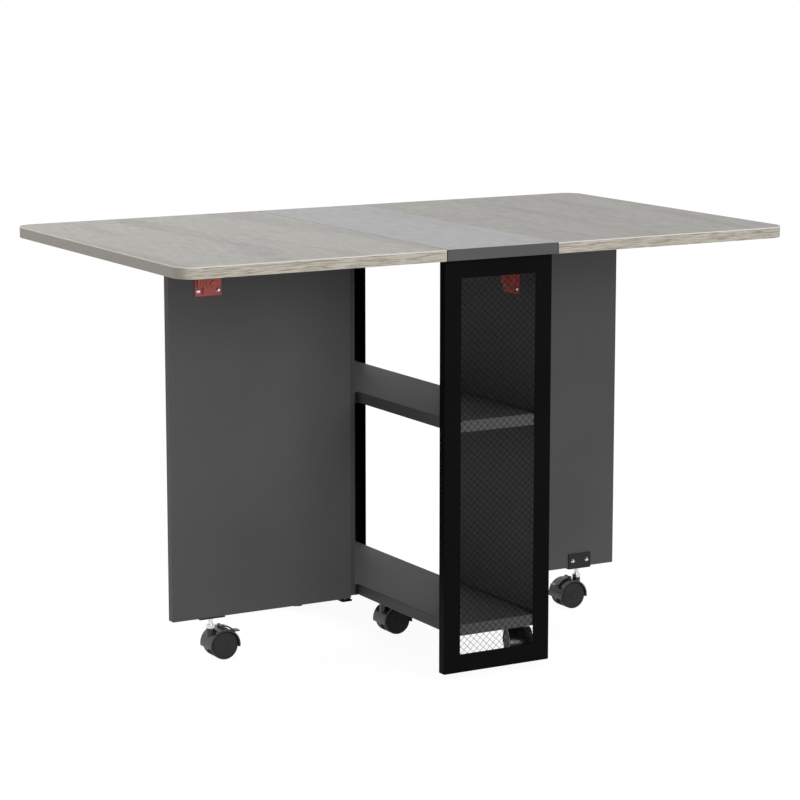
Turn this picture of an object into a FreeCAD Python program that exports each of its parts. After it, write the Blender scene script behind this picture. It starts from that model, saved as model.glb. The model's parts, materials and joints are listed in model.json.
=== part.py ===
# Drop-leaf dining table on casters: a narrow column with mesh ends and two shelves carries a fixed
# centre board, and two gates swing out of the column to hold up the leaves.
# Millimetres, X along the table, Y across it (the front is -Y), Z up from the floor.
# The left and right halves are the same half turned about Z, so side is -1 on the left and 1 on the right.
import FreeCAD, Part
import os
import re
import Sketcher
from FreeCAD import Rotation, Vector

SIZES = {
    # top
    "table_length": 1200, "table_depth": 704, "table_height": 750, "board_thick": 20,
    "centre_width": 219, "seam_gap": 1.5, "corner_round": 35, "edge_round": 1,
    # end frames of steel angle, and their mesh
    "frame_width": 213, "frame_setback": 14, "frame_bottom": 12.5, "frame_face": 32, "frame_deep": 18,
    "frame_wall": 2, "frame_round": 1.2, "mesh_thick": 1.2, "mesh_lap": 8, "mesh_bar": 2.4,
    "top_screw_out": 45,
    # shelves, the studs that hold them, and side panels
    "shelf_width": 165, "shelf_thick": 20, "bottom_shelf_top": 96.5, "middle_shelf_top": 453,
    "stud_radius": 2.5, "stud_length": 20, "stud_inset": 4, "panel_thick": 18, "panel_clear": 1,
    "strap_clear": 1,
    # gates
    "gate_length": 356.5, "gate_thick": 18, "gate_bottom": 77, "gate_clear": 1, "gate_top_clear": 1.1,
    "notch_length": 26, "notch_height": 16, "glide_length": 30, "glide_inset": 8, "glide_clear": 1,
    # gate pivots
    "pin_radius": 4, "pin_depth": 20, "pin_proud": 2, "run_clear": 0.05,
    "pivot_thick": 3, "pivot_gap": 2, "pivot_edge": 10, "pivot_wide": 40, "pivot_leg": 45, "pivot_offset": 2,
    "pivot_screw_pitch": 22,
    # leaf hinges
    "hinge_inset": 102, "hinge_wide": 50, "hinge_out": 23, "knuckle_radius": 2.7, "knuckle_drop": 3.2,
    "hinge_pin_radius": 1.5, "strap_thick": 2, "strap_reach": 45, "flap_thick": 2, "flap_reach": 42,
    "flap_barrel": 16, "barrel_gap": 0.5, "knuckle_clear": 1.3, "hinge_screw_pitch": 30,
    "hinge_screw_inset": 14,
    # screws
    "screw_radius": 1.75, "screw_length": 12, "head_radius": 4, "head_height": 2.4, "head_top_share": 0.55,
    # catches on the gates and on the side panels
    "gate_catch_inset": 75, "panel_catch_inset": 81, "catch_drop": 2, "catch_width": 50, "catch_height": 70,
    "catch_plate": 3, "catch_deep": 6, "catch_body_wide": 44, "catch_body_high": 38, "catch_spine_wide": 24,
    "catch_spine_high": 62, "catch_screw_out": 19,
    "catch_screw_up": 26, "rib_wide": 2.6, "rib_pitch": 5.6, "rib_first": 5, "rib_proud": 1.5, "rib_high": 34,
    "button_radius": 6, "button_out": 7, "button_up": 21, "button_proud": 2.5, "button_grip": 4.5,
    "button_travel": 2.5, "bore_spare": 0.5,
    # caster plates and inserts
    "plate_width": 49, "plate_rise": 27, "plate_thick": 2.5, "plate_screw_pitch": 31, "plate_screw_up": 13,
    "insert_radius": 9, "sleeve_radius": 6.5,
    # casters
    "gate_caster_inset": 77, "end_caster_inset": 76, "middle_caster_out": 35,
    "wheel_radius": 25, "wheel_width": 17, "wheel_bevel": 2, "web_clear": 0.5, "axle_radius": 3,
    "trail": 19, "hood_gap": 1.5, "hood_wall": 3, "hood_web": 8, "hood_skirt": 4, "web_skirt": 8,
    "neck_radius": 7.5, "neck_top": 56, "stem_radius": 4, "stem_foot": 48, "stem_depth": 14,
    "collar_radius": 8.6, "collar_height": 6, "swivel_gap": 0.3,
    # brake levers
    "brake_wide": 14, "brake_thick": 2.5, "brake_gap": 1.8, "brake_run": 26, "brake_tip": 12,
    "brake_tip_up": 21, "eye_radius": 2.6, "eye_wide": 8, "eye_rise": 3.1, "brake_pin": 1.25,
    "ear_wide": 4, "ear_gap": 0.4,
    # how far a cutting shape runs past the solid that it cuts
    "overrun": 2,
}
MESH_COLUMNS = 6
MESH_ROWS = 22
CATCH_RIBS = 3
# How far the front caster is swivelled from trailing to the right, as it stands in the photograph
FRONT_CASTER_TURN = -109
HALF_CIRCLE = 180

# Derived places, as formulas of the sizes above
TOP_UNDER = "(table_height - board_thick)"
FRAME_OUT = "(table_depth / 2 - frame_setback)"
FRAME_IN = f"({FRAME_OUT} - frame_deep)"
FACE_IN = f"({FRAME_OUT} - frame_wall)"
SHELF_END = f"({FACE_IN} - mesh_thick)"
COLUMN_HALF = "(frame_width / 2)"
LEAF_INNER = "(centre_width / 2 + seam_gap)"
GATE_INNER = f"({COLUMN_HALF} + gate_clear)"
GATE_OUTER = f"({GATE_INNER} + gate_length)"
PIVOT_OUT = f"({GATE_INNER} + gate_thick / 2)"
GATE_CASTER_OUT = f"({GATE_OUTER} - gate_caster_inset)"
PANEL_IN = f"({COLUMN_HALF} - panel_thick)"
PANEL_NEAR = "(gate_thick / 2 + panel_clear)"
PANEL_LONG = f"({FRAME_IN} - {PANEL_NEAR})"
PANEL_MID = f"(({FRAME_IN} + {PANEL_NEAR}) / 2)"
KNUCKLE_OUT = f"({LEAF_INNER} + hinge_out)"
KNUCKLE_UP = f"({TOP_UNDER} - knuckle_drop)"
GATE_TOP = f"({KNUCKLE_UP} - knuckle_radius - gate_top_clear)"
GLIDE_HIGH = f"({TOP_UNDER} - {GATE_TOP} - glide_clear)"
CATCH_LOW = f"({GATE_TOP} - catch_drop - catch_height)"
HINGE_PITCH = "(table_depth / 2 - hinge_inset)"
END_CASTER_OUT = f"({COLUMN_HALF} - panel_thick / 2)"
END_CASTER_BACK = f"({FRAME_IN} - end_caster_inset)"
MOUNT_UP = "(gate_bottom - plate_thick)"
SHELF_UNDER = "(bottom_shelf_top - shelf_thick)"
SHELF_MID = {level: f"({level}_shelf_top - shelf_thick / 2)" for level in ("bottom", "middle")}
HOOD_WIDE = "(hood_web + 2 * web_clear + 2 * wheel_width)"
HOOD_IN = "(wheel_radius + hood_gap)"
HOOD_OUT = f"({HOOD_IN} + hood_wall)"
EYE_UP = f"(wheel_radius + {HOOD_OUT} + eye_rise)"

# Turns that point a part made facing up towards another side
TURNS = {
    "up": Rotation(),
    "down": Rotation(Vector(1, 0, 0), 180),
    "front": Rotation(Vector(1, 0, 0), 90),
    "back": Rotation(Vector(1, 0, 0), -90),
    "left": Rotation(Vector(0, 1, 0), -90),
    "right": Rotation(Vector(0, 1, 0), 90),
}
HALF_TURN = Rotation(Vector(0, 0, 1), 180)
# The side that an upright face looks to, as x and y, and the turn that takes a front piece there
FACINGS = {"front": (0, -1, 0), "right": (1, 0, 90), "back": (0, 1, 180), "left": (-1, 0, -90)}
SIDES = {"left": -1, "right": 1}

doc = FreeCAD.newDocument("drop_leaf_table")
sheet = doc.addObject("Spreadsheet::Sheet", "Sheet")
for row, (alias, value) in enumerate(SIZES.items(), start=1):
    sheet.set(f"A{row}", alias)
    sheet.set(f"B{row}", str(value))
    sheet.setAlias(f"B{row}", alias)
doc.recompute()
nodes = {}


def formula(text):
    """Turn the size names in a formula into references to the sheet."""
    return re.sub(r"[a-z_]+", lambda word: f"Sheet.{word.group(0)}", str(text))


def bind(item, **formulas):
    for name, text in formulas.items():
        item.setExpression(name, formula(text))


def place(item, at, turn=None):
    if turn is not None:
        item.Placement = FreeCAD.Placement(Vector(), turn)
    for axis, text in zip("xyz", at):
        item.setExpression(f"Placement.Base.{axis}", formula(text))
    return item


def keep(name, item):
    """Name a finished sub-part."""
    item.Label = name
    nodes[name] = item
    return item


def block(sizes, centre, name="block"):
    item = doc.addObject("Part::Box", name)
    bind(item, Length=sizes[0], Width=sizes[1], Height=sizes[2])
    return place(item, [f"{middle} - ({size}) / 2" for middle, size in zip(centre, sizes)])


def rod(radius, length, centre, axis, name="rod"):
    item = doc.addObject("Part::Cylinder", name)
    bind(item, Radius=radius, Height=length)
    low = [f"{middle} - ({length}) / 2" if side == axis else middle for middle, side in zip(centre, "XYZ")]
    return place(item, low, TURNS[{"X": "right", "Y": "back", "Z": "up"}[axis]])


def join(pieces, name="join"):
    item = doc.addObject("Part::MultiFuse", name)
    item.Shapes = pieces
    return item


def carve(base, tools, name="carve"):
    item = doc.addObject("Part::Cut", name)
    item.Base = base
    item.Tool = tools[0] if len(tools) == 1 else bundle(tools)
    return item


def bundle(pieces, name="bundle"):
    item = doc.addObject("Part::Compound", name)
    item.Links = pieces
    return item


def copy_of(master, at, turn=None, name="copy"):
    return place(bundle([master], name), at, turn)


def rectangle(body, wide, high, plane):
    """A sketch of a rectangle centred on the body's origin."""
    sketch = body.newObject("Sketcher::SketchObject", "outline")
    support = [feature for feature in body.Origin.OriginFeatures if feature.Role == plane]
    sketch.AttachmentSupport = [(support[0], "")]
    sketch.MapMode = "FlatFace"
    corners = [Vector(-1, -1, 0), Vector(1, -1, 0), Vector(1, 1, 0), Vector(-1, 1, 0)]
    for start, end in zip(corners, corners[1:] + corners[:1]):
        sketch.addGeometry(Part.LineSegment(start, end), False)
    for edge in range(4):
        sketch.addConstraint(Sketcher.Constraint("Coincident", edge, 2, (edge + 1) % 4, 1))
        sketch.addConstraint(Sketcher.Constraint("Vertical" if edge % 2 else "Horizontal", edge))
    sketch.addConstraint(Sketcher.Constraint("Symmetric", 0, 1, 1, 2, -1, 1))
    across = sketch.addConstraint(Sketcher.Constraint("DistanceX", 0, 1, 0, 2, 2))
    upward = sketch.addConstraint(Sketcher.Constraint("DistanceY", 1, 1, 1, 2, 2))
    sketch.setExpression(f"Constraints[{across}]", formula(wide))
    sketch.setExpression(f"Constraints[{upward}]", formula(high))
    return sketch


def board(name, wide, high, thick, plane, centre, rounding="edge_round"):
    """A flat piece: a rectangle in the plane, padded evenly to both sides, with softened edges."""
    body = doc.addObject("PartDesign::Body", name)
    pad = body.newObject("PartDesign::Pad", "thickness")
    pad.Profile = rectangle(body, wide, high, plane)
    pad.SideType = "Symmetric"
    bind(pad, Length=thick)
    doc.recompute()
    if rounding:
        soften(body, pad, rounding)
    return place(body, centre)


def soften(body, base, radius, edges=()):
    """Round some edges of a body, or all of them."""
    fillet = body.newObject("PartDesign::Fillet", "rounding")
    fillet.Base = (base, list(edges))
    fillet.UseAllEdges = not edges
    bind(fillet, Radius=radius)
    doc.recompute()
    return fillet


def screw_master():
    """A screw that points down, with the seat of its tapered head at the origin."""
    shank = rod("screw_radius", "screw_length", ["0", "0", "0 - screw_length / 2"], "Z")
    head = doc.addObject("Part::Cone", "head")
    bind(head, Radius1="head_radius", Radius2="head_radius * head_top_share", Height="head_height")
    return join([shank, head], "screw")


SCREW = screw_master()


def screw(at, facing):
    return copy_of(SCREW, at, TURNS[facing])


# Column

def shelf_studs(y_sign, clear="0"):
    """Rods that stand on one frame's face and reach into the ends of the shelves."""
    long = "(mesh_thick + stud_length)"
    back = f"{y_sign} * ({FACE_IN} - {long} / 2)"
    rods = []
    for up in SHELF_MID.values():
        for x_sign in (-1, 1):
            out = f"{x_sign} * (shelf_width / 2 - stud_inset)"
            rods.append(rod(f"stud_radius + {clear}", long, [out, back, up], "Y"))
    return rods


def top_screws(y_sign):
    """Screws that hold the centre board, driven up through one frame's top flange."""
    back = f"{y_sign} * ({FRAME_IN} + {FACE_IN}) / 2"
    seat = f"{TOP_UNDER} - frame_wall"
    return [screw([f"{x_sign} * top_screw_out", back, seat], "down") for x_sign in (-1, 1)]


def pivot_bracket(side, level):
    """The angle that holds a gate's upper or lower pin to the side panel, and its two screws."""
    down = -1 if level == "upper" else 1
    floor = f"({GATE_TOP} - notch_height)" if level == "upper" else "gate_bottom"
    seat = f"({floor} + pivot_gap)" if level == "upper" else "(gate_bottom - pivot_gap - pivot_thick)"
    outer = f"({PIVOT_OUT} + pivot_edge)"
    back = f"({PANEL_NEAR} + pivot_offset + pivot_wide)"
    flat = block([f"{outer} - {COLUMN_HALF}", f"{back} + pivot_edge", "pivot_thick"],
                 [f"{side} * ({outer} + {COLUMN_HALF}) / 2", f"{-side} * ({back} - pivot_edge) / 2",
                  f"{seat} + pivot_thick / 2"])
    middle = f"{-side} * ({back} - pivot_wide / 2)"
    upright = block(["pivot_thick", "pivot_wide", "pivot_leg"],
                    [f"{side} * ({COLUMN_HALF} + pivot_thick / 2)", middle,
                     f"{seat} + pivot_thick / 2 + {down} * (pivot_leg - pivot_thick) / 2"])
    hole = rod("pin_radius + run_clear", "pivot_thick + 2 * overrun",
               [f"{side} * {PIVOT_OUT}", "0", f"{seat} + pivot_thick / 2"], "Z")
    face = f"{side} * ({COLUMN_HALF} + pivot_thick)"
    up = f"{seat} + pivot_thick / 2 + {down} * pivot_leg / 2"
    screws = []
    for shift in (-1, 1):
        along = f"{middle} + {shift} * pivot_screw_pitch / 2"
        screws.append(screw([face, along, up], "left" if side < 0 else "right"))
    return carve(join([flat, upright]), [hole]), screws


def leaf_hinge(side, along):
    """One leaf hinge: the strap with two outer barrels, the flap with the middle one, the pin, screws."""
    inner = f"({LEAF_INNER} - seam_gap - strap_reach)"
    edge = "(centre_width / 2)"
    strap_low = f"({TOP_UNDER} - knuckle_drop)"
    pad = block([f"{edge} - {inner}", "hinge_wide", "knuckle_drop"],
                [f"{side} * ({edge} + {inner}) / 2", along, f"{TOP_UNDER} - knuckle_drop / 2"])
    arm = "((hinge_wide - flap_barrel) / 2 - barrel_gap)"
    strap = [pad]
    for end in (-1, 1):
        middle = f"{along} + {end} * (hinge_wide - {arm}) / 2"
        out = f"{side} * ({KNUCKLE_OUT} + {edge}) / 2"
        strap.append(block([f"{KNUCKLE_OUT} - {edge}", arm, "strap_thick"],
                           [out, middle, f"{strap_low} + strap_thick / 2"]))
        strap.append(rod("knuckle_radius", arm, [f"{side} * {KNUCKLE_OUT}", middle, KNUCKLE_UP], "Y"))
    near = f"({KNUCKLE_OUT} + knuckle_radius + knuckle_clear)"
    far = f"({KNUCKLE_OUT} + flap_reach)"
    flap_up = f"{TOP_UNDER} - flap_thick / 2"
    flap = [block([f"{far} - {near}", "hinge_wide", "flap_thick"],
                  [f"{side} * ({far} + {near}) / 2", along, flap_up]),
            block([f"{near} - {KNUCKLE_OUT}", "flap_barrel", "flap_thick"],
                  [f"{side} * ({near} + {KNUCKLE_OUT}) / 2", along, flap_up]),
            rod("knuckle_radius", "flap_barrel", [f"{side} * {KNUCKLE_OUT}", along, KNUCKLE_UP], "Y")]
    axis = [f"{side} * {KNUCKLE_OUT}", along, KNUCKLE_UP]
    pin = rod("hinge_pin_radius", "hinge_wide", axis, "Y")
    bore = rod("hinge_pin_radius + run_clear", "hinge_wide", axis, "Y")
    strap_screws = []
    flap_screws = []
    for end in (-1, 1):
        row = f"{along} + {end} * hinge_screw_pitch / 2"
        strap_screws.append(screw([f"{side} * ({inner} + hinge_screw_inset)", row, strap_low], "down"))
        flap_low = f"{TOP_UNDER} - flap_thick"
        flap_screws.append(screw([f"{side} * ({far} - hinge_screw_inset)", row, flap_low], "down"))
    return carve(join(strap), [pin]), carve(join(flap), [bore]), pin, strap_screws, flap_screws


def end_frame(name, y_sign, screws):
    """A welded frame of steel angle, open behind, with its mesh window open and its shelf studs."""
    high = f"({TOP_UNDER} - frame_bottom)"
    up = f"frame_bottom + {high} / 2"
    centre = ["0", f"{y_sign} * ({FRAME_OUT} - frame_deep / 2)", up]
    outer = board(f"{name}_outline", "frame_width", high, "frame_deep", "XZ_Plane", centre, "frame_round")
    deep = "(frame_deep - frame_wall + overrun)"
    room = block(["frame_width - 2 * frame_wall", deep, f"{high} - 2 * frame_wall"],
                 ["0", f"{y_sign} * ({FACE_IN} - {deep} / 2)", up])
    window = block(["frame_width - 2 * frame_face", "frame_deep + 2 * overrun", f"{high} - 2 * frame_face"],
                   centre)
    angle = carve(carve(outer, [room]), [window, screws])
    keep(name, join([angle] + shelf_studs(y_sign)))


def mesh_panel(name, y_sign, holes):
    """A flat net of diamond gaps that lies against the back of the frame's face."""
    size = {alias: sheet.get(alias) for alias in SIZES}
    half_wide = size["frame_width"] / 2 - size["frame_face"]
    low = size["frame_bottom"] + size["frame_face"]
    high = size["table_height"] - size["board_thick"] - size["frame_face"]
    lap = size["mesh_lap"]
    gap_wide = 2 * half_wide / MESH_COLUMNS
    gap_high = (high - low) / MESH_ROWS
    slim = size["mesh_bar"] / 2 * (gap_wide ** 2 + gap_high ** 2) ** 0.5
    reach_x = gap_wide / 2 - slim / gap_high
    reach_z = gap_high / 2 - slim / gap_wide
    face_y = -size["mesh_thick"] / 2

    def loop(points):
        return Part.makePolygon([Vector(x, face_y, z) for x, z in points + points[:1]])

    edge = half_wide + lap
    wires = [loop([(-edge, low - lap), (edge, low - lap), (edge, high + lap), (-edge, high + lap)])]
    for row in range(2 * MESH_ROWS - 1):
        odd = row % 2
        for column in range(MESH_COLUMNS - odd):
            x = -half_wide + gap_wide * (column + (1 + odd) / 2)
            z = low + gap_high * (row + 1) / 2
            wires.append(loop([(x - reach_x, z), (x, z - reach_z), (x + reach_x, z), (x, z + reach_z)]))
    net = doc.addObject("Part::Feature", f"{name}_net")
    net.Shape = Part.makeFace(wires, "Part::FaceMakerBullseye").extrude(Vector(0, size["mesh_thick"], 0))
    place(net, ["0", f"{y_sign} * ({FACE_IN} - mesh_thick / 2)", "0"])
    keep(name, carve(net, [holes]))


def side_panel(name, side, tools):
    """The board that closes one half of a side, with a notch in its top for the leaf hinge's strap."""
    middle = f"{side} * ({COLUMN_HALF} - panel_thick / 2)"
    panel = board(f"{name}_side_board", PANEL_LONG, f"{TOP_UNDER} - {SHELF_UNDER}", "panel_thick", "YZ_Plane",
                  [middle, f"{-side} * {PANEL_MID}", f"({TOP_UNDER} + {SHELF_UNDER}) / 2"])
    deep = "(knuckle_drop + head_height + strap_clear)"
    notch = block(["panel_thick + 2 * overrun", "hinge_wide + 2 * strap_clear", f"{deep} + overrun"],
                  [middle, f"{-side} * {HINGE_PITCH}", f"{TOP_UNDER} - ({deep} - overrun) / 2"])
    keep(f"{name}_side_panel", carve(panel, [notch] + tools))


def column():
    """Everything that stands still: top, frames, mesh, shelves, side panels, brackets and screws."""
    screws = []
    brackets = []
    straps = []
    pins = []
    catches = {}
    leaf_parts = {}
    for name, side in SIDES.items():
        for level in ("upper", "lower"):
            bracket, bracket_screws = pivot_bracket(side, level)
            brackets.append(bracket)
            screws += bracket_screws
        flaps = []
        leaf_screws = []
        for along in (HINGE_PITCH, f"0 - {HINGE_PITCH}", f"{side} * (hinge_wide + gate_thick) / 2"):
            strap, flap, pin, strap_screws, flap_screws = leaf_hinge(side, along)
            straps.append(strap)
            pins.append(pin)
            flaps.append(flap)
            screws += strap_screws
            leaf_screws += flap_screws
        leaf_parts[name] = (flaps, leaf_screws)
        inward = "left" if side > 0 else "right"
        back = f"{-side} * ({FRAME_IN} - panel_catch_inset)"
        catches[name], catch_screws = fit_catch(f"{name}_panel", 1, [f"{side} * {PANEL_IN}", back], inward)
        screws += catch_screws
    frame_screws = {y_sign: top_screws(y_sign) for y_sign in (-1, 1)}
    all_screws = keep("column_screws", bundle(screws + frame_screws[-1] + frame_screws[1]))
    keep("pivot_brackets", carve(bundle(brackets), [all_screws]))
    keep("leaf_hinge_straps", carve(bundle(straps), [all_screws]))
    keep("leaf_hinge_pins", bundle(pins))

    top = board("centre_board", "centre_width", "table_depth", "board_thick", "XY_Plane",
                ["0", "0", "table_height - board_thick / 2"])
    keep("centre_top", carve(top, [all_screws]))
    stud_holes = {y_sign: bundle(shelf_studs(y_sign, "run_clear")) for y_sign in (-1, 1)}
    for name, y_sign in (("front", -1), ("rear", 1)):
        end_frame(f"{name}_frame", y_sign, bundle(frame_screws[y_sign]))
        mesh_panel(f"{name}_mesh", y_sign, stud_holes[y_sign])

    stems, inserts = column_caster_mounts()
    spacers = []
    for level, middle in SHELF_MID.items():
        shelf = board(f"{level}_board", "shelf_width", f"2 * {SHELF_END}", "shelf_thick", "XY_Plane",
                      ["0", "0", middle])
        mounts = [stems, inserts] if level == "bottom" else []
        keep(f"{level}_shelf", carve(shelf, list(stud_holes.values()) + mounts))
        for side in SIDES.values():
            out = f"{side} * ({PANEL_IN} + shelf_width / 2) / 2"
            spacers.append(block([f"{PANEL_IN} - shelf_width / 2", PANEL_LONG, "shelf_thick"],
                                 [out, f"{-side} * {PANEL_MID}", middle]))
    keep("shelf_spacers", bundle(spacers))
    for name, side in SIDES.items():
        side_panel(name, side, [all_screws, stems, inserts])
        keep(f"{name}_panel_catch", carve(catches[name], [all_screws]))
    return leaf_parts


# Leaves

def leaf(name, side, flaps, screws):
    """A leaf with two rounded outer corners, its hinge flaps and their screws."""
    wide = f"(table_length / 2 - {LEAF_INNER})"
    body = doc.addObject("PartDesign::Body", f"{name}_board")
    pad = body.newObject("PartDesign::Pad", "thickness")
    pad.Profile = rectangle(body, wide, "table_depth", "XY_Plane")
    pad.SideType = "Symmetric"
    bind(pad, Length="board_thick")
    doc.recompute()
    upright = []
    for number, edge in enumerate(pad.Shape.Edges, start=1):
        ends = edge.BoundBox
        if ends.ZLength > ends.XLength + ends.YLength and side * ends.Center.x > 0:
            upright.append(f"Edge{number}")
    corners = soften(body, pad, "corner_round", upright)
    soften(body, corners, "edge_round")
    place(body, [f"{side} * (table_length / 2 + {LEAF_INNER}) / 2", "0", "table_height - board_thick / 2"])
    held = keep(f"{name}_leaf_screws", bundle(screws))
    keep(f"{name}_leaf", carve(body, [held]))
    keep(f"{name}_hinge_flaps", carve(bundle(flaps), [held]))


# Catches

def catch(hand):
    """A catch on a face that looks to the front: ribs on the hand side, a button on the other."""
    middle = "catch_height / 2"
    plate = block(["catch_width", "catch_plate", "catch_height"], ["0", "0 - catch_plate / 2", middle])
    deep = "0 - catch_plate - catch_deep / 2"
    housing = block(["catch_body_wide", "catch_deep", "catch_body_high"], ["0", deep, middle])
    spine = block(["catch_spine_wide", "catch_deep", "catch_spine_high"], ["0", deep, middle])
    ribs = []
    for number in range(CATCH_RIBS):
        across = f"{hand} * (rib_first + {number} * rib_pitch)"
        ribs.append(block(["rib_wide", "rib_proud + catch_deep", "rib_high"],
                          [across, "0 - catch_plate - (catch_deep + rib_proud) / 2", middle]))
    face = "(catch_plate + catch_deep)"
    bore_deep = "(button_grip + button_travel + bore_spare)"
    spot = [f"{-hand} * button_out", f"0 - {face} + {bore_deep} / 2 - overrun / 2", "button_up"]
    bore = rod("button_radius", f"{bore_deep} + overrun", spot, "Y")
    grip = "(button_grip + button_proud)"
    button = rod("button_radius - run_clear", grip,
                 [spot[0], f"0 - {face} - button_proud + {grip} / 2", "button_up"], "Y", "button")
    return carve(join([plate, housing, spine] + ribs), [bore], "catch"), button


CATCHES = {hand: catch(hand) for hand in (-1, 1)}


def fit_catch(name, hand, foot, facing):
    """One catch and its button on an upright face, and the four screws that hold it."""
    body, button = CATCHES[hand]
    out_x, out_y, angle = FACINGS[facing]
    turn = Rotation(Vector(0, 0, 1), angle)
    at = foot + [CATCH_LOW]
    screws = []
    for across in (-1, 1):
        for up in (-1, 1):
            screws.append(screw([f"{at[0]} + {out_x} * catch_plate + {across * out_y} * catch_screw_out",
                                 f"{at[1]} + {out_y} * catch_plate + {across * out_x} * catch_screw_out",
                                 f"{at[2]} + catch_height / 2 + {up} * catch_screw_up"], facing))
    keep(f"{name}_catch_button", copy_of(button, at, turn))
    return copy_of(body, at, turn), screws


# Gates

def gate(name, side):
    """A gate: panel, pivot pins, glide, caster plate, catch and the screws that hold them."""
    middle = f"{side} * ({GATE_INNER} + gate_length / 2)"
    panel = board(f"{name}_gate_board", "gate_length", f"{GATE_TOP} - gate_bottom", "gate_thick", "XZ_Plane",
                  [middle, "0", f"({GATE_TOP} + gate_bottom) / 2"])
    notch = block(["notch_length + overrun", "gate_thick + 2 * overrun", "notch_height + overrun"],
                  [f"{side} * ({GATE_INNER} + (notch_length - overrun) / 2)", "0",
                   f"{GATE_TOP} - (notch_height - overrun) / 2"])
    pins = []
    reach = "(pivot_gap + pivot_thick + pin_proud)"
    for foot, sign in ((f"({GATE_TOP} - notch_height)", 1), ("gate_bottom", -1)):
        pins.append(rod("pin_radius", f"pin_depth + {reach}",
                        [f"{side} * {PIVOT_OUT}", "0", f"{foot} + {sign} * ({reach} - pin_depth) / 2"], "Z"))
    pins = keep(f"{name}_pivot_pins", bundle(pins))
    glide_end = f"({GATE_OUTER} - glide_inset - glide_length / 2)"
    keep(f"{name}_gate_glide",
         block(["glide_length", "gate_thick", GLIDE_HIGH],
               [f"{side} * {glide_end}", "0", f"{GATE_TOP} + {GLIDE_HIGH} / 2"]))

    out = f"{side} * {GATE_CASTER_OUT}"
    upright = block(["plate_width", "plate_thick", "plate_rise + plate_thick"],
                    [out, f"{-side} * (gate_thick + plate_thick) / 2",
                     f"{MOUNT_UP} + (plate_rise + plate_thick) / 2"])
    flange = block(["plate_width", "gate_thick + plate_thick", "plate_thick"],
                   [out, f"{-side} * plate_thick / 2", f"{MOUNT_UP} + plate_thick / 2"])
    screws = []
    for end in (-1, 1):
        screws.append(screw([f"{out} + {end} * plate_screw_pitch / 2",
                             f"{-side} * (gate_thick / 2 + plate_thick)", "gate_bottom + plate_screw_up"],
                            "front" if side > 0 else "back"))
    foot = [f"{side} * ({GATE_OUTER} - gate_catch_inset)", f"{side} * gate_thick / 2"]
    body, catch_screws = fit_catch(f"{name}_gate", -1, foot, "back" if side > 0 else "front")
    held = keep(f"{name}_gate_screws", bundle(screws + catch_screws))
    keep(f"{name}_gate_catch", carve(body, [held]))
    stem = keep(f"{name}_caster_stem", copy_of(CASTER["stem"], [out, "0", "0"]))
    keep(f"{name}_caster_plate", carve(join([upright, flange]), [held, stem]))
    keep(f"{name}_gate_panel", carve(panel, [notch, pins, held, stem]))


# Casters

def hood_master():
    """A hood over both wheels, its neck, and the ears of the brake lever: it trails towards +X."""
    axle = ["trail", "0", "wheel_radius"]
    shell = rod(HOOD_OUT, HOOD_WIDE, axle, "Y")
    neck = rod("neck_radius", "neck_top - wheel_radius", ["0", "0", "(neck_top + wheel_radius) / 2"], "Z")
    room = rod(HOOD_IN, f"{HOOD_WIDE} + 2 * overrun", axle, "Y")
    span = f"(2 * {HOOD_OUT} + 2 * neck_radius)"
    below = block([span, span, HOOD_OUT], ["trail", "0", f"wheel_radius - hood_skirt - {HOOD_OUT} / 2"])
    cover = carve(join([shell, neck]), [room, below])
    web = rod(f"{HOOD_IN} + hood_wall / 2", "hood_web", axle, "Y")
    web_below = block([span, span, HOOD_OUT], ["trail", "0", f"wheel_radius - web_skirt - {HOOD_OUT} / 2"])
    ears = []
    for sign in (-1, 1):
        across = f"{sign} * (eye_wide / 2 + ear_gap + ear_wide / 2)"
        high = "(eye_rise + eye_radius + hood_wall / 2)"
        ears.append(block(["2 * eye_radius", "ear_wide", high],
                          ["trail", across, f"{EYE_UP} + eye_radius - {high} / 2"]))
    ear_bore = rod("brake_pin + run_clear", HOOD_WIDE, ["trail", "0", EYE_UP], "Y")
    axle_bore = rod("axle_radius + run_clear", HOOD_WIDE, axle, "Y")
    bore_low = "(stem_foot - swivel_gap)"
    stem_bore = rod("stem_radius + run_clear", f"neck_top + overrun - {bore_low}",
                    ["0", "0", f"(neck_top + overrun + {bore_low}) / 2"], "Z")
    return carve(join([cover, carve(web, [web_below])] + ears), [axle_bore, stem_bore, ear_bore], "hood")


def wheels_master():
    """Two wheels with a bevelled outer rim, pressed on one axle."""
    axle = rod("axle_radius", f"{HOOD_WIDE} - wheel_width", ["trail", "0", "wheel_radius"], "Y")
    wheels = []
    for sign, facing in ((-1, "front"), (1, "back")):
        tread = "(wheel_width - wheel_bevel)"
        inner = "(hood_web / 2 + web_clear)"
        drum = rod("wheel_radius", tread, ["trail", f"{sign} * ({inner} + {tread} / 2)", "wheel_radius"], "Y")
        rim = doc.addObject("Part::Cone", "rim")
        bind(rim, Radius1="wheel_radius", Radius2="wheel_radius - wheel_bevel", Height="wheel_bevel")
        place(rim, ["trail", f"{sign} * ({inner} + {tread})", "wheel_radius"], TURNS[facing])
        wheels.append(carve(join([drum, rim]), [axle]))
    return bundle(wheels + [axle], "wheels")


def stem_master():
    """A stem with a hexagonal collar just above the hood's neck."""
    top = f"({MOUNT_UP} + stem_depth)"
    shaft = rod("stem_radius", f"{top} - stem_foot", ["0", "0", f"({top} + stem_foot) / 2"], "Z")
    collar = doc.addObject("Part::Prism", "collar")
    collar.Polygon = 6
    bind(collar, Circumradius="collar_radius", Height="collar_height")
    place(collar, ["0", "0", "neck_top + swivel_gap"])
    return join([shaft, collar], "stem")


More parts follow.
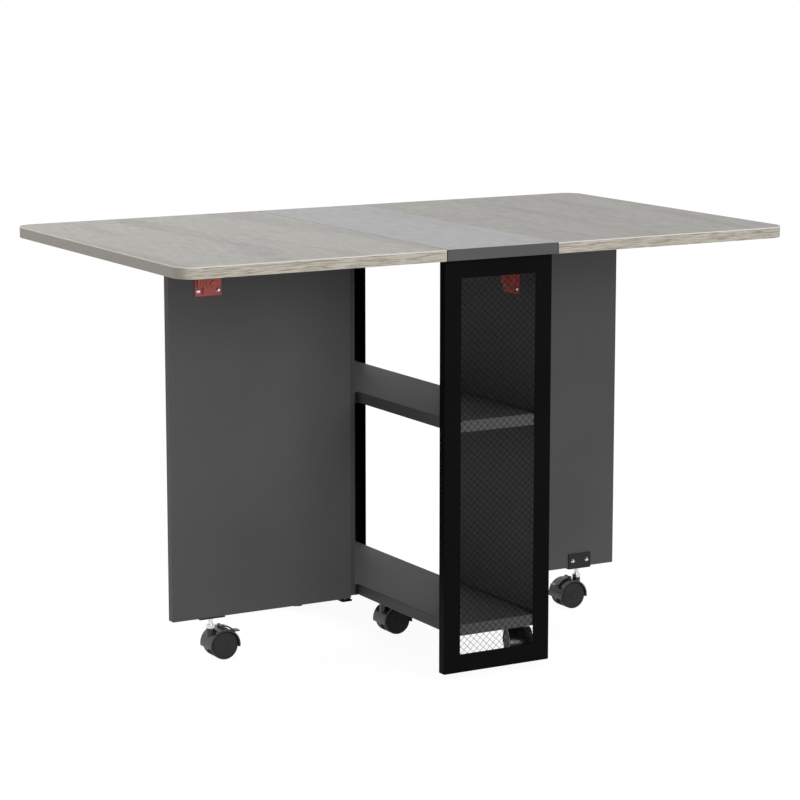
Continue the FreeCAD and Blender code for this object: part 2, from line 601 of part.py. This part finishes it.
def brake_master():
    """A brake lever: an arm that follows the hood, a tip to lift, and an eye on its own pin."""
    axle = ["trail", "0", "wheel_radius"]
    inside = f"({HOOD_OUT} + brake_gap)"
    ring = carve(rod(f"{inside} + brake_thick", "brake_wide", axle, "Y"),
                 [rod(inside, "brake_wide + 2 * overrun", axle, "Y")])
    quarter = block(["brake_run", "brake_wide", f"{inside} + brake_thick"],
                    ["trail + brake_run / 2", "0", f"wheel_radius + ({inside} + brake_thick) / 2"])
    arm = doc.addObject("Part::Common", "arm")
    arm.Base = ring
    arm.Tool = quarter
    notch = "(eye_wide + 2 * ear_gap)"
    ear_room = []
    for sign in (-1, 1):
        ear_room.append(block(["4 * eye_radius", "brake_wide", "4 * eye_radius"],
                              ["trail", f"{sign} * ({notch} + brake_wide) / 2", EYE_UP]))
    tip = block(["brake_tip", "brake_wide", "brake_thick"],
                ["trail + brake_run + brake_tip / 4", "0", "wheel_radius + brake_tip_up"])
    eye = rod("eye_radius", "eye_wide", ["trail", "0", EYE_UP], "Y")
    pin = rod("brake_pin", "eye_wide + 2 * ear_gap + 2 * ear_wide", ["trail", "0", EYE_UP], "Y")
    return join([carve(join([arm, tip, eye]), ear_room), pin], "brake")


CASTER = {"stem": stem_master(), "hood": hood_master(), "wheels": wheels_master(), "brake": brake_master()}
COLUMN_CASTERS = {
    "middle": (["0 - middle_caster_out", "0", "0"], None),
    "front": ([END_CASTER_OUT, f"0 - {END_CASTER_BACK}", "0"], Rotation(Vector(0, 0, 1), FRONT_CASTER_TURN)),
    "rear": ([f"0 - {END_CASTER_OUT}", END_CASTER_BACK, "0"],
             Rotation(Vector(0, 0, 1), FRONT_CASTER_TURN + HALF_CIRCLE)),
}


def column_caster_mounts():
    """The stems of the casters under the bottom shelf and the side panels, and the inserts that hold them."""
    stems = []
    inserts = []
    for at, turn in COLUMN_CASTERS.values():
        stems.append(copy_of(CASTER["stem"], at, turn))
        flange = rod("insert_radius", f"{SHELF_UNDER} - {MOUNT_UP}",
                     [at[0], at[1], f"({SHELF_UNDER} + {MOUNT_UP}) / 2"], "Z")
        top = f"({MOUNT_UP} + stem_depth)"
        sleeve = rod("sleeve_radius", f"{top} - {MOUNT_UP}", [at[0], at[1], f"({top} + {MOUNT_UP}) / 2"], "Z")
        inserts.append(join([flange, sleeve]))
    stems = keep("column_caster_stems", bundle(stems))
    inserts = keep("caster_inserts", carve(bundle(inserts), [stems]))
    return stems, inserts


def caster(name, at, turn):
    """The turning pieces of one caster."""
    for piece in ("hood", "wheels", "brake"):
        keep(f"{name}_caster_{piece}", copy_of(CASTER[piece], at, turn))


def check_and_write():
    doc.recompute()
    for item in doc.Objects:
        if "Invalid" in item.State or "Error" in item.State:
            raise RuntimeError(f"{item.Label} failed: {item.State}")
    for name, item in nodes.items():
        if item.Shape.isNull() or not item.Shape.isValid() or not item.Shape.Solids:
            raise RuntimeError(f"{name} has no valid solid")
    os.makedirs("parts", exist_ok=True)
    for name, item in nodes.items():
        item.Shape.exportStep(f"parts/{name}.step")
        print(name, len(item.Shape.Solids), "solids", round(item.Shape.Volume), "mm3")


for leaf_name, (leaf_flaps, leaf_screws) in column().items():
    leaf(leaf_name, SIDES[leaf_name], leaf_flaps, leaf_screws)
for gate_name, gate_side in SIDES.items():
    gate(gate_name, gate_side)
    caster(gate_name, [f"{gate_side} * {GATE_CASTER_OUT}", "0", "0"], HALF_TURN if gate_side > 0 else None)
for caster_name, (caster_at, caster_turn) in COLUMN_CASTERS.items():
    caster(caster_name, caster_at, caster_turn)
check_and_write()
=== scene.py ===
# Looks of the drop-leaf dining table: laminates, powder coat, plastics and zinc on the fixed frame,
# with woven wire in the end frames and turned wheels in the casters. Metres, in the frame's own axes.
import json
import math

import bmesh
import bpy
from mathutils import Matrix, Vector


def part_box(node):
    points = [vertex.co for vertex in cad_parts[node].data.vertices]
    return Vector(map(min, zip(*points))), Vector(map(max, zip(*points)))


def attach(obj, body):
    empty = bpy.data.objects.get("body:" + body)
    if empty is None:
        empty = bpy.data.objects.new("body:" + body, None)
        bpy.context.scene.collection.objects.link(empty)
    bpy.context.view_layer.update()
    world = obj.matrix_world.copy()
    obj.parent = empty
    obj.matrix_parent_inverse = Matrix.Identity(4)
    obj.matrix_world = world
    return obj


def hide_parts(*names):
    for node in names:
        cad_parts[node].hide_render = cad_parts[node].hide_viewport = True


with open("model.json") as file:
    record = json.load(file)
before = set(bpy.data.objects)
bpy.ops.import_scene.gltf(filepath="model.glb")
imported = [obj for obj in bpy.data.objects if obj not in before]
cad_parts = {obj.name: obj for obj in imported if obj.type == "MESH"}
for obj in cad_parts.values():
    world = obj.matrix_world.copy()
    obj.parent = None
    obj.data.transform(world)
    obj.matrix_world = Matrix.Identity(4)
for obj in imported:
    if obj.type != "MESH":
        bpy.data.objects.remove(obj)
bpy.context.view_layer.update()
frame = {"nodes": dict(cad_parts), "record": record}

MM = 0.001
nodes = frame["nodes"]

# Camera, fitted to the photograph
CAMERA_PLACE = Vector((-2448.1, -4280.8, 1303.2)) * MM
CAMERA_YAW = math.radians(29.76)
CAMERA_PITCH = math.radians(10.02)
FOCAL_PIXELS = 2756.6
IMAGE_PIXELS = 800
SENSOR_WIDTH = 36

# Woven wire
CELL_WIDE = 13 * MM
CELL_HIGH = 12 * MM
WIRE_RADIUS = 0.35 * MM
WIRE_SIDES = 6
WIRE_WAVE = 0.45 * MM
STEPS_PER_CELL = 4

# Wheels: a profile from the inner face to the hub cap, as shares of the wheel's width and radius
WHEEL_GAP = 9 * MM
WHEEL_TURNS = 72
WHEEL_PROFILE_SHARES = [
    (0.00, 0.20), (0.00, 0.93), (0.05, 0.98), (0.10, 1.00), (0.36, 1.00), (0.39, 0.975), (0.45, 0.975),
    (0.48, 1.00), (0.78, 1.00), (0.88, 0.99), (0.96, 0.955), (1.00, 0.91), (1.00, 0.86), (0.96, 0.845),
    (0.96, 0.80), (0.985, 0.785), (0.985, 0.36), (0.95, 0.345), (0.95, 0.29), (0.98, 0.275), (1.00, 0.20),
    (1.00, 0.0),
]
SHARP_CORNER = math.radians(30)

# The axis of the joint that carries each moving body, from the record; the wheels use theirs as the axle
JOINT_AXES = {joint["child"]: joint["axis"] for joint in frame["record"]["behaviour"]["joints"]}

# The painted highlight along the upper edge of the leaves' edge band, and the tone of the right leaf beside
# the left one, which is partly its own and partly painted shade
PAINTED_HIGHLIGHT_FROM = 747.9 * MM
PAINTED_HIGHLIGHT_FULL = 748.3 * MM
RIGHT_LEAF_TONE_AND_SHADE = 0.84

# Small radii of moulded and pressed pieces, by material slot
MOULDED_RADII = {"black_plastic": 0.6 * MM, "red_plastic": 0.7 * MM, "black_steel": 0.4 * MM}
MOULDED_SEGMENTS = 2
MOULDED_CORNER = math.radians(35)
KEPT_SHARP = ("mesh", "frame", "spacers")

# Stage: a white world and floor, and two soft round lights, each with place, target, width and power
WHITE = (1.0, 1.0, 1.0, 1.0)
WORLD_LIGHT = 0.62
BACKDROP_LIGHT = 1.0
FLOOR_HALF = 12.0
FLOOR_GLOW = 1.05
FLOOR_GLOW_SHARE = 0.9
LIGHTS = {
    "key": ((-1.6, 2.0, 2.9), (-0.1, 0.0, 0.6), 2.0, 55),
    "front": ((0.2, -4.8, 2.1), (0.0, 0.0, 0.3), 3.0, 140),
}


class Shader:
    """A material's node tree, with short ways to add what the surfaces share."""

    def __init__(self, name):
        self.material = bpy.data.materials.new(name)
        self.material.use_nodes = True
        self.tree = self.material.node_tree
        self.surface = self.tree.nodes["Principled BSDF"]
        self.place = self.add("ShaderNodeTexCoord").outputs["Object"]

    def add(self, kind, inputs=(), **settings):
        made = self.tree.nodes.new(kind)
        for name, value in settings.items():
            setattr(made, name, value)
        for name, value in dict(inputs).items():
            self.feed(made.inputs[name], value)
        return made

    def feed(self, socket, value):
        if isinstance(value, bpy.types.NodeSocket):
            self.tree.links.new(value, socket)
        else:
            socket.default_value = value

    def stretched(self, scale):
        return self.add("ShaderNodeMapping", {"Vector": self.place, "Scale": scale}).outputs["Vector"]

    def noise(self, scale, detail=4.0, stretch=None, distortion=0.0):
        vector = self.stretched(stretch) if stretch else self.place
        made = self.add("ShaderNodeTexNoise", {"Vector": vector, "Scale": scale, "Detail": detail,
                                               "Distortion": distortion})
        return made.outputs["Fac"]

    def ramp(self, factor, *stops):
        made = self.add("ShaderNodeValToRGB", {"Fac": factor})
        while len(made.color_ramp.elements) < len(stops):
            made.color_ramp.elements.new(1.0)
        for element, (position, colour) in zip(made.color_ramp.elements, stops):
            element.position = position
            element.color = (*colour, 1.0)
        return made.outputs["Color"]

    def level(self, factor, low_in, high_in, low=0.0, high=1.0):
        made = self.add("ShaderNodeMapRange", {"Value": factor, "From Min": low_in, "From Max": high_in,
                                               "To Min": low, "To Max": high})
        return made.outputs["Result"]

    def mix(self, factor, first, second, blend="MIX"):
        made = self.add("ShaderNodeMix", data_type="RGBA", blend_type=blend)
        for socket, value in zip((made.inputs[0], made.inputs[6], made.inputs[7]), (factor, first, second)):
            self.feed(socket, value)
        return made.outputs[2]

    def sums(self, operation, first, second):
        made = self.add("ShaderNodeMath", operation=operation)
        self.feed(made.inputs[0], first)
        self.feed(made.inputs[1], second)
        return made.outputs["Value"]

    def bump(self, height, distance, strength):
        made = self.add("ShaderNodeBump", {"Height": height, "Distance": distance, "Strength": strength})
        self.feed(self.surface.inputs["Normal"], made.outputs["Normal"])

    def edge(self, radius):
        """1 on worn edges and 0 on flat faces."""
        soft = self.add("ShaderNodeBevel", {"Radius": radius}, samples=6).outputs["Normal"]
        flat = self.add("ShaderNodeNewGeometry").outputs["Normal"]
        dot = self.add("ShaderNodeVectorMath", operation="DOT_PRODUCT")
        self.feed(dot.inputs[0], soft)
        self.feed(dot.inputs[1], flat)
        bent = self.sums("SUBTRACT", 1.0, dot.outputs["Value"])
        return self.level(bent, 0.02, 0.2)

    def part_of(self, vector, axis):
        return self.add("ShaderNodeSeparateXYZ", {"Vector": vector}).outputs[axis]

    def normal(self, axis):
        return self.part_of(self.add("ShaderNodeNewGeometry").outputs["Normal"], axis)

    def facing_up(self):
        return self.level(self.normal("Z"), 0.6, 0.8)

    def finish(self, colour, roughness, metallic=0.0, specular=0.5):
        for name, value in (("Base Color", colour), ("Roughness", roughness), ("Metallic", metallic),
                            ("Specular IOR Level", specular)):
            self.feed(self.surface.inputs[name], value)
        return self.material


def oak_colour(shader, pale, dark):
    """Long grain across the table, with darker bands, fine pores and broad changes of tone."""
    bands = shader.noise(1.0, 5.0, (17.0, 1.6, 17.0), 0.6)
    pores = shader.noise(1.0, 3.0, (760.0, 22.0, 760.0))
    broad = shader.noise(1.0, 2.0, (5.0, 2.0, 3.2), 0.4)
    grain = shader.ramp(bands, (0.34, dark), (0.52, pale), (0.70, tuple(0.9 * part for part in pale)))
    toned = shader.mix(shader.level(broad, 0.35, 0.65, 0.0, 0.30), grain, (*dark, 1.0))
    lines = shader.level(pores, 0.44, 0.60, 0.72)
    grey = shader.add("ShaderNodeCombineColor", {"Red": lines, "Green": lines, "Blue": lines})
    return shader.mix(0.75, toned, grey.outputs["Color"], "MULTIPLY"), pores


def oak_edge(shader):
    """Edge band: fine broken streaks on the long sides, and a plainer tone on the ends, darkened there as
    painted shade, with a painted highlight along its upper edge.
    """
    streaks = shader.noise(1.0, 4.0, (38.0, 38.0, 850.0), 0.3)
    side = shader.ramp(streaks, (0.38, (0.20, 0.178, 0.143)), (0.50, (0.335, 0.309, 0.262)),
                       (0.66, (0.39, 0.364, 0.317)))
    # Painted shade: the band on the ends is darker than on the long sides
    end = shader.ramp(streaks, (0.3, (0.235, 0.217, 0.190)), (0.7, (0.262, 0.244, 0.214)))
    at_shaded_end = shader.level(shader.sums("POWER", shader.normal("X"), 2.0), 0.35, 0.65)
    # Painted highlight: the top of the edge band is painted pale, where its rounded edge would catch the
    # light
    painted_highlight = shader.level(shader.part_of(shader.place, "Z"), PAINTED_HIGHLIGHT_FROM, PAINTED_HIGHLIGHT_FULL)
    return shader.mix(painted_highlight, shader.mix(at_shaded_end, side, end), (0.56, 0.54, 0.50, 1.0))


def oak_laminate(name, tone):
    """A leaf: pale grey oak, its top darkened by the tone, which on the right leaf is partly its own and
    partly painted shade.
    """
    shader = Shader(name)
    pale = tuple(tone * part for part in (0.380, 0.369, 0.340))
    dark = tuple(tone * part for part in (0.302, 0.293, 0.271))
    top, pores = oak_colour(shader, pale, dark)
    colour = shader.mix(shader.facing_up(), oak_edge(shader), top)
    shader.bump(pores, 0.15 * MM, 0.5)
    return shader.finish(colour, shader.level(pores, 0.4, 0.6, 0.54, 0.44), specular=0.3)


def grey_laminate():
    """The centre board: a cool grey top with faint grain, and dark grey edges."""
    shader = Shader("grey_laminate")
    top, pores = oak_colour(shader, (0.352, 0.352, 0.352), (0.325, 0.325, 0.325))
    colour = shader.mix(shader.facing_up(), melamine_colour(shader), top)
    shader.bump(pores, 0.1 * MM, 0.4)
    return shader.finish(colour, shader.level(pores, 0.4, 0.6, 0.52, 0.42), specular=0.3)


def melamine_colour(shader):
    """Dark grey with a fine pebbled speckle and slow changes of tone."""
    speckle = shader.noise(900.0, 2.0)
    broad = shader.noise(3.5, 3.0)
    base = shader.ramp(broad, (0.3, (0.056, 0.055, 0.056)), (0.7, (0.070, 0.069, 0.070)))
    fine = shader.ramp(speckle, (0.35, (0.80, 0.80, 0.80)), (0.65, (1.0, 1.0, 1.0)))
    mixed = shader.mix(0.8, base, fine, "MULTIPLY")
    return shader.mix(shader.edge(0.8 * MM), mixed, (0.09, 0.09, 0.09, 1.0))


def grey_board():
    """The shelves, side panels and gates: pebbled dark grey melamine."""
    shader = Shader("grey_board")
    colour = melamine_colour(shader)
    pebble = shader.noise(520.0, 3.0)
    shader.bump(pebble, 0.12 * MM, 0.6)
    return shader.finish(colour, shader.level(pebble, 0.35, 0.65, 0.50, 0.64), specular=0.22)


def coated_steel(name, low, high, wear, specular):
    """Powder coat with a fine orange peel, thin and paler on some edges."""
    shader = Shader(name)
    orange_peel = shader.noise(650.0, 2.0)
    patches = shader.level(shader.noise(60.0), 0.4, 0.7, 0.0, 0.5)
    worn = shader.sums("MULTIPLY", shader.edge(1.0 * MM), patches)
    base = shader.ramp(shader.noise(9.0), (0.3, low), (0.7, high))
    shader.bump(orange_peel, 0.08 * MM, 0.5)
    return shader.finish(shader.mix(worn, base, (*wear, 1.0)),
                         shader.level(orange_peel, 0.35, 0.65, 0.46, 0.60), specular=specular)


def zinc():
    """Bright plating with fine scratches and a faint cloud."""
    shader = Shader("zinc")
    scratches = shader.noise(1.0, 3.0, (300.0, 300.0, 2600.0))
    cloud = shader.noise(90.0)
    colour = shader.ramp(cloud, (0.3, (0.62, 0.62, 0.60)), (0.7, (0.78, 0.78, 0.77)))
    shader.bump(scratches, 0.02 * MM, 0.4)
    return shader.finish(colour, shader.level(scratches, 0.35, 0.65, 0.22, 0.38), 1.0)


def moulded(name, low, high, roughness, wear, specular):
    """Moulded plastic: a fine spark-eroded texture and slightly paler edges."""
    shader = Shader(name)
    grain = shader.noise(1400.0, 2.0)
    base = shader.ramp(shader.noise(40.0), (0.3, low), (0.7, high))
    colour = shader.mix(shader.sums("MULTIPLY", shader.edge(0.7 * MM), 0.6), base, (*wear, 1.0))
    shader.bump(grain, 0.03 * MM, 0.5)
    return shader.finish(colour, shader.level(grain, 0.35, 0.65, roughness - 0.06, roughness + 0.08),
                         specular=specular)


MATERIALS = {
    "oak_laminate": oak_laminate("oak_laminate", 1.0),
    "grey_board": grey_board(),
    "black_steel": coated_steel("black_steel", (0.0014, 0.0013, 0.0015), (0.0022, 0.0021, 0.0023),
                                (0.012, 0.012, 0.013), 0.035),
    "zinc": zinc(),
    "black_plastic": moulded("black_plastic", (0.008, 0.0078, 0.008), (0.012, 0.0118, 0.012), 0.28,
                             (0.05, 0.05, 0.05), 0.5),
    "wheel_plastic": moulded("wheel_plastic", (0.022, 0.021, 0.0215), (0.030, 0.029, 0.0295), 0.50,
                             (0.05, 0.05, 0.05), 0.1),
    "red_plastic": moulded("red_plastic", (0.31, 0.064, 0.059), (0.38, 0.083, 0.076), 0.40,
                           (0.44, 0.13, 0.12), 0.25),
}
PLATE_COAT = coated_steel("plate_steel", (0.016, 0.015, 0.016), (0.022, 0.021, 0.022),
                          (0.05, 0.05, 0.05), 0.15)


def dress_nodes():
    """Every CAD node takes the material of its slot in the record, apart from four with their own tone; the
    right leaf's darker tone is partly painted shade.
    """
    for part in frame["record"]["subparts"]:
        mesh = nodes[part["node"]].data
        mesh.materials.clear()
        mesh.materials.append(MATERIALS[part["material_slot"]])
    nodes["centre_top"].data.materials[0] = grey_laminate()
    # The right leaf's darker laminate is partly its own tone and partly painted shade
    nodes["right_leaf"].data.materials[0] = oak_laminate("darker_and_shaded_oak_laminate", RIGHT_LEAF_TONE_AND_SHADE)
    for plate in ("left_caster_plate", "right_caster_plate"):
        nodes[plate].data.materials[0] = PLATE_COAT


def soften_edges():
    """A small moulded radius on the plastic and pressed pieces."""
    for part in frame["record"]["subparts"]:
        width = MOULDED_RADII.get(part["material_slot"])
        if width is None or part["node"].endswith(KEPT_SHARP):
            continue
        bevel = nodes[part["node"]].modifiers.new("moulded_radius", "BEVEL")
        bevel.width = width
        bevel.segments = MOULDED_SEGMENTS
        bevel.limit_method = "ANGLE"
        bevel.angle_limit = MOULDED_CORNER


def add_piece(name, mesh, body, slot):
    """A piece of its own mesh that rides on a body and takes the material of a slot."""
    item = bpy.data.objects.new(name, mesh)
    bpy.context.scene.collection.objects.link(item)
    mesh.materials.append(MATERIALS[slot])
    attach(item, body)
    return item


def add_wire(shape, start, end, face_y, phase):
    """One crimped wire from start to end in the XZ plane at face_y, passing over and under the others."""
    run = end - start
    steps = max(2, round(STEPS_PER_CELL * abs(run.x) / CELL_WIDE))
    along = run.normalized()
    side = Vector((-along.z, 0.0, along.x))
    out = Vector((0.0, 1.0, 0.0))
    rings = []
    for step in range(steps + 1):
        point = start + run * (step / steps)
        wave = WIRE_WAVE * math.cos(2 * math.pi * point.x / CELL_WIDE + phase)
        centre = Vector((point.x, face_y + wave, point.z))
        ring = []
        for corner in range(WIRE_SIDES):
            angle = 2 * math.pi * corner / WIRE_SIDES
            spoke = side * math.cos(angle) + out * math.sin(angle)
            ring.append(shape.verts.new(centre + spoke * WIRE_RADIUS))
        rings.append(ring)
    for first, second in zip(rings, rings[1:]):
        for corner in range(WIRE_SIDES):
            following = (corner + 1) % WIRE_SIDES
            face = shape.faces.new((first[corner], first[following], second[following], second[corner]))
            face.smooth = True
    shape.faces.new(list(reversed(rings[0])))
    shape.faces.new(rings[-1])


def clip_slant(low, high, offset, slope):
    """The stretch of the line z = offset + slope * x that lies inside the panel."""
    spans = sorted(((low.z - offset) / slope, (high.z - offset) / slope))
    first = max(low.x, spans[0])
    last = min(high.x, spans[1])
    if last - first < CELL_WIDE / STEPS_PER_CELL:
        return None
    return [Vector((x, 0.0, offset + slope * x)) for x in (first, last)]


def woven_panel(name):
    """Woven wire with diamond gaps, in the place of one end's net."""
    low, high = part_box(name)
    face_y = (low.y + high.y) / 2
    inset = WIRE_RADIUS
    low = low + Vector((inset, 0.0, inset))
    high = high - Vector((inset, 0.0, inset))
    shape = bmesh.new()
    for slope in (CELL_HIGH / CELL_WIDE, -CELL_HIGH / CELL_WIDE):
        reach = abs(slope) * max(abs(low.x), abs(high.x))
        count = math.ceil((high.z - low.z + 2 * reach) / CELL_HIGH)
        for number in range(count + 1):
            offset = low.z - reach + CELL_HIGH * (number + 0.5)
            ends = clip_slant(low, high, offset, slope)
            if ends:
                phase = math.pi * (number % 2) + (math.pi if slope < 0 else 0.0)
                add_wire(shape, ends[0], ends[1], face_y, phase)
    mesh = bpy.data.meshes.new(f"{name}_wire")
    shape.to_mesh(mesh)
    shape.free()
    panel = add_piece(f"{name}_wire", mesh, "column", "black_steel")
    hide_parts(name)


def turned_wheels(name):
    """Both wheels of a caster, turned from one profile, with a grooved tread and a hub cap."""
    node = f"{name}_caster_wheels"
    low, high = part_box(node)
    centre = (low + high) / 2
    axle = Vector(JOINT_AXES[node]).normalized()
    ahead = axle.cross(Vector((0.0, 0.0, 1.0)))
    radius = (high.z - low.z) / 2
    reaches = [corner.co.dot(axle) for corner in nodes[node].data.vertices]
    width = (max(reaches) - min(reaches) - WHEEL_GAP) / 2
    shape = bmesh.new()
    for side in (-1, 1):
        rings = []
        for across, reach in WHEEL_PROFILE_SHARES:
            spokes = WHEEL_TURNS if reach else 1
            ring = []
            for number in range(spokes):
                angle = 2 * math.pi * number / WHEEL_TURNS
                offset = axle * side * (WHEEL_GAP / 2 + width * across)
                offset += ahead * radius * reach * math.cos(angle)
                offset.z += radius * reach * math.sin(angle)
                ring.append(shape.verts.new(centre + offset))
            rings.append(ring)
        for first, second in zip(rings, rings[1:]):
            for number in range(WHEEL_TURNS):
                following = (number + 1) % WHEEL_TURNS
                corners = [first[number], first[following]]
                corners += [second[0]] if len(second) == 1 else [second[following], second[number]]
                shape.faces.new(corners)
        shape.faces.new(rings[0])
    bmesh.ops.recalc_face_normals(shape, faces=shape.faces)
    mesh = bpy.data.meshes.new(f"{name}_turned_wheels")
    shape.to_mesh(mesh)
    shape.free()
    mesh.shade_smooth()
    wheels = add_piece(f"{name}_turned_wheels", mesh, node, "wheel_plastic")
    mesh.set_sharp_from_angle(angle=SHARP_CORNER)
    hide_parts(node)


def area_light(name, place, target, size, power):
    """A round light of the given width that shines from its place at the target."""
    light = bpy.data.lights.new(name, "AREA")
    light.shape = "DISK"
    light.size = size
    light.energy = power
    lamp = bpy.data.objects.new(name, light)
    lamp.location = place
    lamp.rotation_mode = "QUATERNION"
    lamp.rotation_quaternion = (Vector(target) - Vector(place)).to_track_quat("-Z", "Y")
    bpy.context.scene.collection.objects.link(lamp)


def seen_rays(tree):
    """1 for rays that show the backdrop itself: straight to the camera, mirrored, or through glass."""
    path = tree.nodes.new("ShaderNodeLightPath")
    total = path.outputs["Is Camera Ray"]
    for name in ("Is Glossy Ray", "Is Transmission Ray"):
        larger = tree.nodes.new("ShaderNodeMath")
        larger.operation = "MAXIMUM"
        tree.links.new(total, larger.inputs[0])
        tree.links.new(path.outputs[name], larger.inputs[1])
        total = larger.outputs["Value"]
    return total


def studio():
    """A white world and floor, with a large soft light above the left and a weaker one at the front."""
    world = bpy.data.worlds.new("studio")
    bpy.context.scene.world = world
    world.use_nodes = True
    tree = world.node_tree
    background = tree.nodes["Background"]
    background.inputs["Color"].default_value = WHITE
    background.inputs["Strength"].default_value = WORLD_LIGHT
    seen = tree.nodes.new("ShaderNodeBackground")
    seen.inputs["Color"].default_value = WHITE
    seen.inputs["Strength"].default_value = BACKDROP_LIGHT
    choice = tree.nodes.new("ShaderNodeMixShader")
    tree.links.new(seen_rays(tree), choice.inputs["Fac"])
    tree.links.new(background.outputs["Background"], choice.inputs[1])
    tree.links.new(seen.outputs["Background"], choice.inputs[2])
    tree.links.new(choice.outputs["Shader"], tree.nodes["World Output"].inputs["Surface"])
    for name, settings in LIGHTS.items():
        area_light(name, *settings)
    floor()


def floor():
    """A white floor: seen directly it is almost as bright as the backdrop, and it bounces light softly."""
    mesh = bpy.data.meshes.new("floor")
    corners = [(x * FLOOR_HALF, y * FLOOR_HALF, 0.0) for x, y in ((-1, -1), (1, -1), (1, 1), (-1, 1))]
    mesh.from_pydata(corners, [], [(0, 1, 2, 3)])
    item = bpy.data.objects.new("floor", mesh)
    bpy.context.scene.collection.objects.link(item)
    shader = Shader("floor")
    shader.finish((0.92, 0.92, 0.92, 1.0), 0.8, specular=0.0)
    glow = shader.add("ShaderNodeEmission", {"Color": WHITE, "Strength": FLOOR_GLOW})
    seen = shader.sums("MULTIPLY", seen_rays(shader.tree), FLOOR_GLOW_SHARE)
    choice = shader.add("ShaderNodeMixShader", {"Fac": seen})
    shader.feed(choice.inputs[1], shader.surface.outputs["BSDF"])
    shader.feed(choice.inputs[2], glow.outputs["Emission"])
    shader.feed(shader.tree.nodes["Material Output"].inputs["Surface"], choice.outputs["Shader"])
    mesh.materials.append(shader.material)


def camera():
    """The camera of the photograph, as fitted."""
    data = bpy.data.cameras.new("camera")
    data.sensor_width = SENSOR_WIDTH
    data.lens = FOCAL_PIXELS * SENSOR_WIDTH / IMAGE_PIXELS
    item = bpy.data.objects.new("camera", data)
    item.location = CAMERA_PLACE
    level = math.cos(CAMERA_PITCH)
    forward = Vector((math.sin(CAMERA_YAW) * level, math.cos(CAMERA_YAW) * level, -math.sin(CAMERA_PITCH)))
    item.rotation_mode = "QUATERNION"
    item.rotation_quaternion = forward.to_track_quat("-Z", "Y")
    bpy.context.scene.collection.objects.link(item)
    bpy.context.scene.camera = item


dress_nodes()
soften_edges()
for panel_name in ("front_mesh", "rear_mesh"):
    woven_panel(panel_name)
for caster_name in ("left", "right", "middle", "front", "rear"):
    turned_wheels(caster_name)
studio()
camera()
bpy.context.scene.view_settings.view_transform = "Standard"
